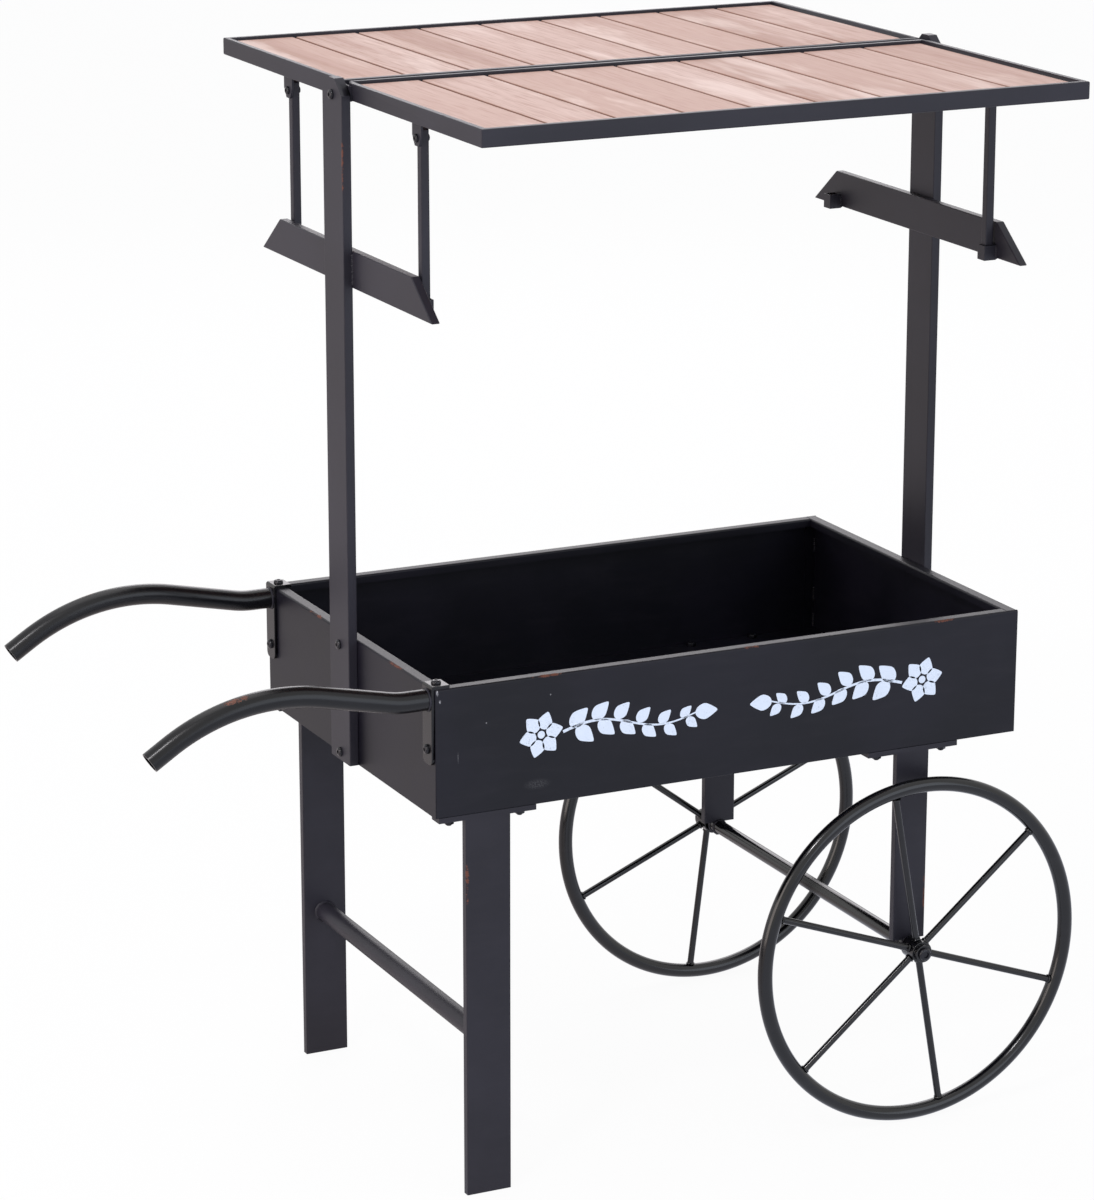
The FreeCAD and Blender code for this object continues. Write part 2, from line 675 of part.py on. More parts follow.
def handle(label, side):
    body = newBody(label, trayLeft, side * strapY, trayTop - cell("handleDrop"))
    track = newSketch(body, label + "Track", "XZ_Plane")
    chain(track, path[0:2])
    bend(track, path[1][0], path[1][1] + ease, ease, 270 - rise, size(270), path[2], path[1])
    chain(track, path[2:4])
    bend(track, path[3][0] - bow * sine(rise), path[3][1] - bow * cosine(rise), bow,
         90 - rise, 90 + droop, path[3], path[4])
    chain(track, path[4:6])
    section = newSketch(body, label + "Section", "YZ_Plane", handleEnd)
    outline(section, corners(sizes["handleSides"],
                             cell("handleRadius") / cosine(180 / cell("handleSides"))))
    pipe = body.newObject("PartDesign::AdditivePipe", label + "Tube")
    pipe.Profile = section
    pipe.Spine = (track, ["Edge%d" % (step + 1) for step in range(5)])
    return body


def strap(label, side):
    # bent flat bar: down the tray's end face and in over its rim
    thick, drop = cell("strapThick"), cell("strapDrop")
    body = newBody(label, trayLeft, side * strapY + cell("strapWidth") / 2, trayTop)
    profile = newSketch(body, label + "Profile", "XZ_Plane")
    outline(profile, [(0, 0), (cell("strapTop"), 0), (cell("strapTop"), thick), (-thick, thick),
                      (-thick, -drop), (0, -drop)])
    pad(body, profile, cell("strapWidth"))
    upper = newSketch(body, label + "TopHole", "XY_Plane")
    circle(upper, strapBoltX, -cell("strapWidth") / 2, cell("strapBoltRadius"))
    pocket(body, upper, thick, True)
    lower = newSketch(body, label + "LowHole", "YZ_Plane", -thick)
    circle(lower, -cell("strapWidth") / 2, cell("strapLowBolt") - drop, cell("strapBoltRadius"))
    pocket(body, lower, thick, True)
    corner = cell("strapRound")
    roundEdges(body, label + "Round", lambda edge: runsAlong(edge, "x", 1)
               and edge.BoundBox.ZMax < -drop.number + 0.01, corner)
    roundEdges(body, label + "Bend", lambda edge: runsAlong(edge, "y", 5)
               and edge.BoundBox.XMax < 0 and edge.BoundBox.ZMin > 0, thick * 0.8)
    return body


for name, side in (("front", -1), ("back", 1)):
    parts += [handle("handle_" + name, side), strap("handle_strap_" + name, side)]

# ---- fasteners ------------------------------------------------------------
shank, pin = cell("boltRadius").number, cell("pinRadius").number
headR, headH = cell("headRadius").number, cell("headHeight").number
nutR, nutH = headR, cell("nutHeight").number

postStack = (cell("postThick") + sheetThick).number
postBolt = domeBolt(headR, headH, shank, postStack, nutR, nutH, 6)
postEnds = [(trayLeft - cell("postThick"), -1), (trayLeft + length + cell("postThick"), 1)]
parts.append(group("post_bolts", [placed(postBolt, x, 0, z, (way, 0, 0))
                                  for x, way in postEnds for z in postBolts]))

plateStack = (cell("plateThick") + sheetThick).number
legBolt = domeBolt(headR, headH, shank, plateStack, nutR, nutH, 6)
parts.append(group("leg_bolts", [placed(legBolt, trayLeft + x, y, plateBase, (0, 0, -1))
                                 for x in boltX for y in (-boltY, boltY)]))

strapStack = (cell("strapThick") + sheetThick).number
strapBolt = domeBolt(headR, headH, cell("strapBoltRadius").number, strapStack,
                     cell("strapNutRadius").number, nutH, 6)
shapes = [placed(strapBolt, trayLeft - cell("strapThick"), y, strapLow, (-1, 0, 0))
          for y in (-strapY, strapY)]
shapes += [placed(strapBolt, trayLeft + strapBoltX, y, trayTop + cell("strapThick"), (0, 0, 1))
           for y in (-strapY, strapY)]
parts.append(group("handle_bolts", shapes))

hingeReach = (cell("postThick") + cell("postGap") + cell("lugThick")).number - 0.4
hingeBolt = domeBolt(headR, headH, shank, hingeReach)
parts.append(group("hinge_bolts", [placed(hingeBolt, x, 0, pivotHeight, (way, 0, 0))
                                   for x, way in postEnds]))

pinStack = (cell("tabThick") + cell("prop") + 2 * cell("sideGap")).number
propPin = domeBolt(headR * 0.85, headH * 0.8, pin, pinStack, pin + 1.2, 1.2, 8)
pinX = cell("armThick") + cell("cup") / 2 - cell("prop") / 2 - cell("sideGap") - cell("tabThick")
for name, side in (("front", -1), ("back", 1)):
    spots = [(trayLeft + pinX, -1), (trayLeft + length - pinX, 1)]
    parts.append(group("prop_pins_" + name, [placed(propPin, x, side * propY, pivotHeight + pivotBelow,
                                                    (way, 0, 0)) for x, way in spots]))

# ---- check and write ------------------------------------------------------
doc.recompute()
for item in doc.Objects:
    if "Invalid" in item.State or "Error" in item.State:
        raise ValueError("%s did not build: %s" % (item.Label, item.State))
for item in parts:
    if item.Shape.isNull() or not item.Shape.isValid() or not item.Shape.Solids:
        raise ValueError("%s has no valid shape" % item.Label)

os.makedirs("parts", exist_ok=True)
for item in parts:
    item.Shape.exportStep("parts/%s.step" % item.Label)
box = FreeCAD.BoundBox()
for item in parts:
    box.add(item.Shape.BoundBox)
print("%d pieces, outline %s" % (len(parts), box))
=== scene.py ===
import bpy
from math import cos, pi, radians, sin
from mathutils import Matrix, Vector


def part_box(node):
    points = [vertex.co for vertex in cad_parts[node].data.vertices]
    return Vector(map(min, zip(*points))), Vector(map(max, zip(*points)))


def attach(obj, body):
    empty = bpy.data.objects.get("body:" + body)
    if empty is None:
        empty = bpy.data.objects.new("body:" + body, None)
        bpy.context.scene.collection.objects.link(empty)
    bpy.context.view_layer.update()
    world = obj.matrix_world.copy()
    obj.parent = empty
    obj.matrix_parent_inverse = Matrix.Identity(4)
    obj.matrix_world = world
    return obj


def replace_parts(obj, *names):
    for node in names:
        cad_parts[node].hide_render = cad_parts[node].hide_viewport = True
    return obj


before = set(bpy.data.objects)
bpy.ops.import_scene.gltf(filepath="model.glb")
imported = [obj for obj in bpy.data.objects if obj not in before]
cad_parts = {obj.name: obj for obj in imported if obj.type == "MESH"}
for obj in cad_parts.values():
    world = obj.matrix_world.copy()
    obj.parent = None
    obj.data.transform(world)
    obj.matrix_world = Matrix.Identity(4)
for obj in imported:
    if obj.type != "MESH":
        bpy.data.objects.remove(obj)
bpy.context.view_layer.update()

# Flower cart: X runs from the pull handles to the wheels, Y from front to back,
# Z up, metres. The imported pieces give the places, and the dressing goes on them.


# shader maths
class Wire:
    # one output socket that can be used in plain sums

    def __init__(self, paint, socket):
        self.paint, self.socket = paint, socket

    def sum(self, operation, *others, clamp=False):
        values = {0: self, **{place + 1: other for place, other in enumerate(others)}}
        return self.paint.add("Math", {"operation": operation, "use_clamp": clamp}, values)

    def __add__(self, other):
        return self.sum("ADD", other)

    def __sub__(self, other):
        return self.sum("SUBTRACT", other)

    def __mul__(self, other):
        return self.sum("MULTIPLY", other)

    def __truediv__(self, other):
        return self.sum("DIVIDE", other)

    def __pow__(self, other):
        return self.sum("POWER", other)

    def __radd__(self, other):
        return self.sum("ADD", other)

    def __rmul__(self, other):
        return self.sum("MULTIPLY", other)

    def __rsub__(self, other):
        return self.sum("MULTIPLY_ADD", -1.0, other)

    def clamped(self):
        return self.sum("ADD", 0.0, clamp=True)

    def whole(self):
        return self.sum("FLOOR")

    def most(self, other):
        return self.sum("MAXIMUM", other)

    def step(self, low, high, fromValue=0.0, toValue=1.0):
        # smooth change from one value to the other between low and high
        return self.paint.add("MapRange", {"interpolation_type": "SMOOTHSTEP"},
                              {0: self, 1: low, 2: high, 3: fromValue, 4: toValue})


class Paint:
    # a material, or the world, whose nodes are added one call at a time

    def __init__(self, name, owner=None):
        self.material = owner or bpy.data.materials.new(name)
        self.material.use_nodes = True
        self.tree = self.material.node_tree
        self.tree.nodes.clear()
        self.place = self.add("TexCoord", {}, {}, "Object")
        self.x, self.y, self.z = (self.add("SeparateXYZ", {}, {0: self.place}, axis)
                                  for axis in "XYZ")

    def add(self, kind, settings, values, output=0):
        node = self.tree.nodes.new("ShaderNode" + kind)
        for name, value in settings.items():
            setattr(node, name, value)
        for name, value in values.items():
            if isinstance(value, Wire):
                self.tree.links.new(value.socket, node.inputs[name])
            else:
                node.inputs[name].default_value = value
        return Wire(self, node.outputs[output]) if node.outputs else node

    def stretched(self, x, y, z):
        return self.add("VectorMath", {"operation": "MULTIPLY"}, {0: self.place, 1: (x, y, z)})

    def noise(self, scale, detail=3.0, rough=0.5, place=None, warp=0.0):
        return self.add("TexNoise", {}, {
            "Vector": place or self.place, "Scale": scale, "Detail": detail, "Roughness": rough,
            "Distortion": warp})

    def away(self, spot, reach):
        # 0 at one point, 1 at the reach along each axis
        aside = self.add("VectorMath", {"operation": "SUBTRACT"}, {0: self.place, 1: spot})
        scaled = self.add("VectorMath", {"operation": "DIVIDE"}, {0: aside, 1: reach})
        return self.add("VectorMath", {"operation": "LENGTH"}, {0: scaled}, "Value")

    def mix(self, amount, first, second, blend="MIX"):
        return self.add("Mix", {"data_type": "RGBA", "blend_type": blend},
                        {0: amount, 6: first, 7: second}, 2)

    def bump(self, height, strength, distance, under=None):
        values = {"Height": height, "Strength": strength, "Distance": distance}
        if under:
            values["Normal"] = under
        return self.add("Bump", {}, values)

    def ray(self, kind):
        return self.add("LightPath", {}, {}, "Is %s Ray" % kind)

    def seen(self):
        # 1 where the camera sees the backdrop itself or in something shiny or clear
        return self.ray("Camera").most(self.ray("Glossy")).most(self.ray("Transmission"))

    def finish(self, values):
        shader = self.add("BsdfPrincipled", {}, values)
        self.add("OutputMaterial", {}, {"Surface": shader})
        return self.material


def colour(red, green, blue):
    # display colour of 0 to 255, as the linear colour that shaders take
    return tuple((part / 255) ** 2.2 for part in (red, green, blue)) + (1.0,)


# satin paint of all the metalwork
paintLook = {
    "dark": (12, 12, 19), "light": (20, 19, 27), "primer": (112, 70, 56), "bare": (104, 100, 106),
    "scratch": (196, 196, 202), "rough": 0.38, "gloss": 0.28, "grit": 0.10,
    "cloudGrain": 7.0, "fineGrain": 900.0, "streakGrain": 16.0, "patchGrain": 760.0,
    "clumpGrain": 150.0, "wornShare": 0.55, "raggedShare": 0.9, "clumpShare": 0.7,
    "patchLevel": 1.27, "patchEdge": 0.06, "patchTint": 0.8, "dustTint": 0.05, "cloudRough": 0.12,
    "patchRough": 0.3, "dustRough": 0.8, "softBump": (0.2, 0.0004), "patchBump": (0.4, 0.0002),
}


def satinPaint(name, spots=(), marks=(), **change):
    # spots: worn patches and marks: pale scratches, each as centre, reach and strength
    look = {**paintLook, **change}
    paint = Paint(name)
    cloud = paint.noise(look["cloudGrain"], 4.0, 0.55)
    fine = paint.noise(look["fineGrain"], 2.0, 0.6)
    streak = paint.noise(look["streakGrain"], 4.0, 0.6, paint.stretched(1.0, 1.0, 5.0))
    ragged = paint.noise(look["patchGrain"], 5.0, 0.7)
    clump = paint.noise(look["clumpGrain"], 2.0, 0.5)
    base = paint.mix(cloud.step(0.35, 0.7), colour(*look["dark"]), colour(*look["light"]))
    worn, pale = ragged * 0.0, ragged * 0.0
    for spot, reach, strength in spots:
        worn = worn.most(paint.away(spot, reach).step(1.0, 0.1) * strength)
    for spot, reach, strength in marks:
        pale = pale.most(paint.away(spot, reach).step(1.0, 0.3) * strength)
    wear = look["wornShare"] * worn + look["raggedShare"] * ragged + look["clumpShare"] * clump
    patch = (wear - look["patchLevel"]).step(0.0, look["patchEdge"])
    dust = (streak * 1.6 - 0.8).clamped() * look["dustTint"]
    scratch = (pale * (ragged * 5.0 - 2.1).clamped()).clamped()
    tint = paint.mix(patch * look["patchTint"], base, colour(*look["primer"]))
    tint = paint.mix(dust, tint, colour(*look["bare"]))
    tint = paint.mix(scratch, tint, colour(*look["scratch"]))
    shine = look["rough"] + look["cloudRough"] * cloud + look["patchRough"] * patch
    soft = paint.bump(cloud * 0.5 + fine * look["grit"], *look["softBump"])
    return paint.finish({
        "Base Color": tint, "Roughness": shine + look["dustRough"] * dust,
        "Specular IOR Level": look["gloss"], "Normal": paint.bump(patch, *look["patchBump"], soft)})


def pieceOf(name):
    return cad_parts[name]


def nodesOf(*starts):
    return [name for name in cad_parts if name.startswith(starts)]


def coat(names, material):
    for name in names:
        slots = pieceOf(name).data.materials
        slots.clear()
        slots.append(material)


front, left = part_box("tray_front_wall")[0].y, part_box("tray_left_end")[0].x
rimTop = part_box("tray_front_wall")[1].z
postSide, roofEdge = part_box("post_left")[0].x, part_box("roof_frame_front")[0].y
trayWorn = [((x, front, rimTop), (reach, 0.008, 0.0045), 1.0)
            for x, reach in ((-0.085, 0.036), (0.120, 0.030), (0.327, 0.026))]
trayWorn += [((left, y, rimTop), (0.006, reach, 0.005), 1.0)
             for y, reach in ((0.077, 0.040), (-0.108, 0.036))]
trayMarks = [
    ((left + 0.0020, front, 0.4850), (0.0015, 0.004, 0.0034), 1.0),
    ((-0.174, front, 0.4225), (0.0005, 0.004, 0.007), 0.3),
    ((left + 0.0046, front, 0.4768), (0.0014, 0.004, 0.0020), 0.9),
    ((-0.096, front, 0.387), (0.016, 0.004, 0.006), 0.07),
    ((-0.0826, front, 0.4695), (0.0009, 0.004, 0.0009), 1.0),
    ((-0.146, front, 0.4513), (0.0009, 0.004, 0.0009), 1.0)]
frameWorn = [
    ((postSide, -0.022, 0.926), (0.004, 0.004, 0.062), 1.0),
    ((-0.166, front, 0.302), (0.005, 0.004, 0.044), 1.0),
    ((-0.122, front, 0.075), (0.004, 0.005, 0.036), 1.0),
    ((0.311, front, 0.218), (0.004, 0.005, 0.046), 1.0),
    ((-0.116, roofEdge, 1.003), (0.016, 0.005, 0.003), 1.0),
    ((0.372, roofEdge, 1.003), (0.022, 0.005, 0.003), 1.0)]
handleWorn = [((-0.379, side * 0.1875, 0.501), (0.052, 0.008, 0.010), 1.0) for side in (-1, 1)]
trayPaint = satinPaint("trayPaint", trayWorn, trayMarks, dark=(14, 14, 23), light=(23, 22, 32))
framePaint = satinPaint("framePaint", frameWorn, dark=(37, 36, 43), light=(44, 43, 51))
wheelPaint = satinPaint("wheelPaint", rough=0.10, dark=(6, 6, 10), light=(13, 13, 18), grit=0.02,
                        gloss=0.5)
handlePaint = satinPaint("handlePaint", handleWorn, rough=0.20, dark=(8, 8, 13),
                         light=(14, 14, 19), grit=0.03, gloss=0.4)
coat(nodesOf("tray_"), trayPaint)
coat(nodesOf("leg_", "post_", "cross_", "prop_", "roof_"), framePaint)
coat(nodesOf("wheel_"), wheelPaint)
coat(nodesOf("handle_"), handlePaint)
print("paint done")

# wood of the slats
woodLook = {
    "pale": (199, 171, 162), "mid": (180, 146, 134), "dark": (148, 108, 92), "knot": (116, 92, 86),
    # side is the colour of the painted shade on the board sides and eased corners
    "side": (126, 88, 70), "smear": (230, 210, 202),
    "boards": 9, "gap": 0.0032, "waveGrain": 38.0, "fineGrain": 420.0, "poreGrain": 1100.0,
    "broadGrain": 13.0, "smearGrain": 21.0, "knotGrain": 5.5, "rings": 34.0,
    "waveTint": 0.6, "fineTint": 0.5, "boardTint": 0.75, "broadTint": 0.5, "knotTint": 0.6,
    "smearTint": 0.5, "gapShadeTint": 0.85, "rough": 0.62, "gloss": 0.35, "bump": (0.35, 0.0003),
}


def slatWood():
    look = woodLook
    lowest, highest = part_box("slat_front_1")[0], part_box("slat_front_9")[1]
    pitch = (highest.x - lowest.x + look["gap"]) / look["boards"]
    paint = Paint("slatWood")
    # every board of either panel has its own number, and so its own stretch of wood
    board = ((paint.x - lowest.x) / pitch).whole() + paint.y.step(-0.001, 0.001, 0.0, 37.0)
    chance = paint.add("TexWhiteNoise", {"noise_dimensions": "1D"}, {"W": board})
    shift = paint.add("CombineXYZ", {}, {0: chance * 3.0, 1: chance * 7.0, 2: chance * 5.0})

    def grown(length):
        # places drawn out along the board
        return paint.add("VectorMath", {"operation": "ADD"}, {
            0: paint.stretched(1.0, length, 1.0), 1: shift})

    along = grown(0.05)
    wave = paint.noise(look["waveGrain"], 5.0, 0.6, along, 0.6)
    grain = paint.noise(look["fineGrain"], 3.0, 0.65, along, 0.1)
    pores = paint.noise(look["poreGrain"], 2.0, 0.6, paint.stretched(1.0, 0.03, 1.0))
    rings = ((wave * look["rings"]).sum("SINE") * 0.5 + 0.5) ** 1.6
    broad = paint.noise(look["broadGrain"], 3.0, 0.6, along, 0.4)
    knots = paint.add("TexVoronoi", {}, {"Vector": grown(0.45), "Scale": look["knotGrain"]})
    smear = paint.noise(look["smearGrain"], 4.0, 0.65, grown(0.16), 0.3)
    # painted shade: the eased corners and the sides between two boards are darker below the top
    # faces, as if in shade
    depth = highest.z - paint.z
    tint = paint.mix(rings * look["waveTint"], colour(*look["pale"]), colour(*look["mid"]))
    for amount, other in (
            (grain.step(0.46, 0.72) * look["fineTint"], "dark"),
            (chance * look["boardTint"], "mid"),
            (broad.step(0.50, 0.68) * look["broadTint"], "dark"),
            (knots.step(0.10, 0.02) * look["knotTint"], "knot"),
            (smear.step(0.50, 0.68) * look["smearTint"], "smear"),
            (depth.step(0.0002, 0.0007) * look["gapShadeTint"], "side")):
        tint = paint.mix(amount, tint, colour(*look[other]))
    shine = look["rough"] + grain * 0.16 - rings * 0.05
    return paint.finish({
        "Base Color": tint, "Roughness": shine, "Specular IOR Level": look["gloss"],
        "Normal": paint.bump(grain * 0.6 + pores * 0.5 - rings * 0.25, *look["bump"])})


coat(nodesOf("slat_"), slatWood())
print("wood done")

# steel of the bolts
steelLook = {
    "dark": (16, 16, 22), "light": (40, 40, 46), "cloudGrain": 260.0, "fineGrain": 2400.0,
    "rough": 0.16, "cloudRough": 0.14, "metal": 0.35, "bump": (0.2, 0.0001),
}


def darkSteel(name):
    look = steelLook
    paint = Paint(name)
    cloud = paint.noise(look["cloudGrain"], 3.0, 0.6)
    fine = paint.noise(look["fineGrain"], 2.0, 0.5)
    return paint.finish({
        "Base Color": paint.mix(cloud, colour(*look["dark"]), colour(*look["light"])),
        "Roughness": look["rough"] + cloud * look["cloudRough"], "Metallic": look["metal"],
        "Normal": paint.bump(fine, *look["bump"])})


steel = darkSteel("darkSteel")
coat(("post_bolts", "leg_bolts", "handle_bolts", "hinge_bolts", "wheel_bolts", "prop_pins_front",
      "prop_pins_back"), steel)


# pieces added by hand
def alone(piece):
    bpy.ops.object.select_all(action="DESELECT")
    piece.select_set(True)
    bpy.context.view_layer.objects.active = piece


def named(name):
    piece = bpy.context.object
    piece.name = name
    piece.data.name = name
    return piece


def settled(piece, material, body, smooth=40):
    # place and turn go into the mesh, then the piece rides on its body
    alone(piece)
    bpy.ops.object.transform_apply(location=True, rotation=True, scale=True)
    bpy.ops.object.shade_smooth_by_angle(angle=radians(smooth))
    piece.data.materials.clear()
    piece.data.materials.append(material)
    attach(piece, body)
    return piece


def twin(piece, name):
    copy = piece.copy()
    copy.data = piece.data.copy()
    copy.name = name
    copy.data.name = name
    bpy.context.scene.collection.objects.link(copy)
    return copy


def gathered(pieces, name):
    bpy.ops.object.select_all(action="DESELECT")
    for piece in pieces:
        piece.select_set(True)
    bpy.context.view_layer.objects.active = pieces[0]
    bpy.ops.object.join()
    return named(name)


def pickFaces(piece, test):
    # selects in edit mode the faces that pass a test of their middle and normal
    bpy.ops.object.mode_set(mode="OBJECT")
    for group in (piece.data.vertices, piece.data.edges, piece.data.polygons):
        group.foreach_set("select", [False] * len(group))
    for face in piece.data.polygons:
        face.select = test(face.center, face.normal)
    bpy.context.tool_settings.mesh_select_mode = (False, False, True)
    bpy.ops.object.mode_set(mode="EDIT")


def merged(node, name):
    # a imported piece's mesh as a new object, its triangles joined into flat faces
    piece = bpy.data.objects.new(name, pieceOf(node).data.copy())
    bpy.context.scene.collection.objects.link(piece)
    alone(piece)
    bpy.ops.object.mode_set(mode="EDIT")
    bpy.ops.mesh.select_all(action="SELECT")
    bpy.ops.mesh.remove_doubles(threshold=0.00001)
    bpy.ops.mesh.dissolve_limited(angle_limit=radians(0.5))
    bpy.ops.object.mode_set(mode="OBJECT")
    return piece


def roundOver(piece, width, test):
    # bevels the outward sharp edges that pass a test of their middle and run
    mesh = piece.data
    sides = {}
    for face in mesh.polygons:
        for key in face.edge_keys:
            sides.setdefault(key, []).append(face)
    for group in (mesh.vertices, mesh.edges, mesh.polygons):
        group.foreach_set("select", [False] * len(group))
    for edge in mesh.edges:
        pair = sides.get(edge.key, [])
        if len(pair) != 2 or pair[0].normal.angle(pair[1].normal) < softMake["sharp"]:
            continue
        a, b = (mesh.vertices[end].co for end in edge.vertices)
        outward = (pair[1].center - pair[0].center).dot(pair[0].normal) < -1e-6
        edge.select = outward and test((a + b) / 2, b - a)
    bpy.context.tool_settings.mesh_select_mode = (False, True, False)
    bpy.ops.object.mode_set(mode="EDIT")
    bpy.ops.mesh.bevel(offset=width, segments=3, affect="EDGES", clamp_overlap=False)
    bpy.ops.object.mode_set(mode="OBJECT")


# rounded bars, tubes and sheets
softMake = {
    "tube": 0.0009, "cup": 0.0003, "frame": 0.0013, "arm": 0.0012, "prop": 0.0009, "strap": 0.0005,
    "hub": 0.0006, "sheet": 0.0008, "sharp": 0.9, "flatAngle": 40, "roundAngle": 60, "long": 0.05,
    "flush": 0.0002, "ringWall": 0.0025, "ringRun": 0.021, "ringRise": 0.0145,
}


def softened(node, width, test, material, body):
    # round bars have no width to bevel, only smooth sides
    piece = merged(node, node + "_soft")
    if width:
        roundOver(piece, width, test)
    settled(piece, material, body, softMake["flatAngle" if width else "roundAngle"])
    modifier = piece.modifiers.new("flatFaces", "WEIGHTED_NORMAL")
    modifier.keep_sharp = True
    bpy.ops.object.modifier_apply(modifier=modifier.name)
    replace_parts(piece, node)


def upright(spot, run):
    return abs(run.z) > 0.1


def everyEdge(spot, run):
    return True


def longEdge(spot, run):
    return run.length > softMake["long"]


for node in ("post_left", "post_right", "leg_front_left", "leg_back_left", "leg_front_right",
             "leg_back_right"):
    softened(node, softMake["tube"], upright, framePaint, "base")
for node in ("cross_arm_left", "cross_arm_right"):
    softened(node, softMake["arm"], everyEdge, framePaint, "base")
softened("prop_cups", softMake["cup"], everyEdge, framePaint, "base")
softened("leg_stretcher", 0, everyEdge, framePaint, "base")
softened("wheel_axle", 0, everyEdge, wheelPaint, "base")
for node in ("tray_front_wall", "tray_back_wall"):
    outer = max(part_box(node), key=lambda corner: abs(corner.y)).y

    def outerEdge(spot, run):
        return abs(spot.y - outer) < softMake["flush"] and longEdge(spot, run)

    softened(node, softMake["sheet"], outerEdge, trayPaint, "base")
for side in ("front", "back"):
    roof, wheel = "roof_frame_" + side, "wheel_" + side
    low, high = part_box(roof)
    edgeY = low.y if side == "front" else high.y

    def ringEdge(spot, run):
        # the ring's outside and top, but none of its small tabs and lugs
        aside = min(abs(spot.x - low.x), abs(spot.x - high.x), abs(spot.y - edgeY))
        outside = aside < softMake["ringWall"]
        level = abs(run.z) < 0.001 and run.length > softMake["ringRun"]
        topmost = spot.z > high.z - softMake["flush"]
        return level and (topmost or outside) or outside and abs(run.z) > softMake["ringRise"]

    softened(roof, softMake["frame"], ringEdge, framePaint, "roof_" + side)
    softened("handle_strap_" + side, softMake["strap"], everyEdge, handlePaint, "base")
    softened("wheel_hub_" + side, softMake["hub"], everyEdge, wheelPaint, wheel)
    softened("wheel_spokes_" + side, 0, everyEdge, wheelPaint, wheel)
for node in ("prop_front_left", "prop_front_right", "prop_back_left", "prop_back_right"):
    softened(node, softMake["prop"], longEdge, framePaint, node)
print("rounded bars done")

# bolts
# body, then radius and height of the head, of the nut, and the shank's radius
boltMake = {
    "post_bolts": ("base", 0.0046, 0.0030, 0.0046, 0.0035, 0.0025),
    "leg_bolts": ("base", 0.0046, 0.0030, 0.0046, 0.0035, 0.0025),
    "handle_bolts": ("base", 0.0046, 0.0030, 0.0040, 0.0035, 0.0020),
    "hinge_bolts": ("base", 0.0046, 0.0030, 0.0, 0.0, 0.0025),
    "wheel_bolts": ("base", 0.0062, 0.0032, 0.0, 0.0, 0.0020),
    "prop_pins_front": ("roof_front", 0.0039, 0.0024, 0.0032, 0.0012, 0.0020),
    "prop_pins_back": ("roof_back", 0.0039, 0.0024, 0.0032, 0.0012, 0.0020),
}
boltShape = {
    "headSides": 24, "shankSides": 14, "pinSides": 16, "dome": 0.72, "domeSteps": 5,
    "socketRim": 0.14, "socketDepth": 0.4, "nutEdge": 0.0004, "washer": 0.0008,
    "washerEdge": 0.0003, "washerReach": 1.12, "tail": 0.0022, "tailEdge": 0.0006,
    "middle": (0.105, 0.0, 0.47),
}


def solidsOf(node):
    # low and high corners of the separate solids that share one node
    alone(merged(node, "loose"))
    bpy.ops.object.mode_set(mode="EDIT")
    bpy.ops.mesh.select_all(action="SELECT")
    bpy.ops.mesh.separate(type="LOOSE")
    bpy.ops.object.mode_set(mode="OBJECT")
    boxes = []
    for piece in bpy.context.selected_objects:
        spots = [vertex.co for vertex in piece.data.vertices]
        boxes.append([Vector([choose(spot[axis] for spot in spots) for axis in range(3)])
                      for choose in (min, max)])
    bpy.ops.object.delete()
    return boxes


def drum(sides, radius, low, high):
    bpy.ops.object.select_all(action="DESELECT")
    bpy.ops.mesh.primitive_cylinder_add(vertices=sides, radius=radius, depth=high - low,
                                        location=(0, 0, (low + high) / 2))
    bpy.ops.object.transform_apply(location=True, rotation=True, scale=True)
    return bpy.context.object


def edged(piece, width, test, steps=2):
    # bevels the border of the faces that pass the test
    pickFaces(piece, test)
    bpy.ops.mesh.bevel(offset=width, segments=steps, affect="EDGES")
    bpy.ops.object.mode_set(mode="OBJECT")
    return piece


def topFace(middle, normal):
    return normal.z > 0.9


def endFace(middle, normal):
    return abs(normal.z) > 0.9


def hexNut(sides, radius, low, high):
    return edged(drum(sides, radius, low, high), boltShape["nutEdge"], endFace)


def roundBolt(length, headRadius, headHeight, nutRadius, nutHeight, shankRadius):
    # domed head with a round socket above z = 0, shank and nut below
    shape = boltShape
    head = edged(drum(shape["headSides"], headRadius, 0.0, headHeight),
                 headHeight * shape["dome"], topFace, shape["domeSteps"])
    pickFaces(head, lambda middle, normal: normal.z > 0.99 and middle.z > headHeight * 0.95
              and middle.xy.length < 0.0001)
    bpy.ops.mesh.inset(thickness=headRadius * shape["socketRim"])
    bpy.ops.mesh.extrude_region_move(TRANSFORM_OT_translate={
        "value": (0, 0, -headHeight * shape["socketDepth"])})
    bpy.ops.object.mode_set(mode="OBJECT")
    end = headHeight + nutHeight - length
    pieces = [head, drum(shape["shankSides"], shankRadius, end - nutHeight * 0.9, headHeight * 0.3)]
    if nutHeight:
        sides = 6 if nutHeight > 0.002 else shape["pinSides"]
        pieces.append(hexNut(sides, nutRadius, end - nutHeight, end))
    return gathered(pieces, "bolt")


def nuttedBolt(length, headRadius, headHeight, nutRadius, nutHeight, shankRadius):
    # washer, nut and bolt end above z = 0, the bolt's own flat hexagon below
    shape = boltShape
    end = headHeight + nutHeight - length
    disc = drum(shape["headSides"], headRadius * shape["washerReach"], 0.0, shape["washer"])
    washer = edged(disc, shape["washerEdge"], topFace)
    tail = edged(drum(shape["shankSides"], shankRadius, end, headHeight + shape["tail"]),
                 shape["tailEdge"], topFace)
    nut = hexNut(6, headRadius, shape["washer"], headHeight + shape["washer"])
    return gathered([washer, nut, tail, hexNut(6, nutRadius, end - nutHeight, end)], "bolt")


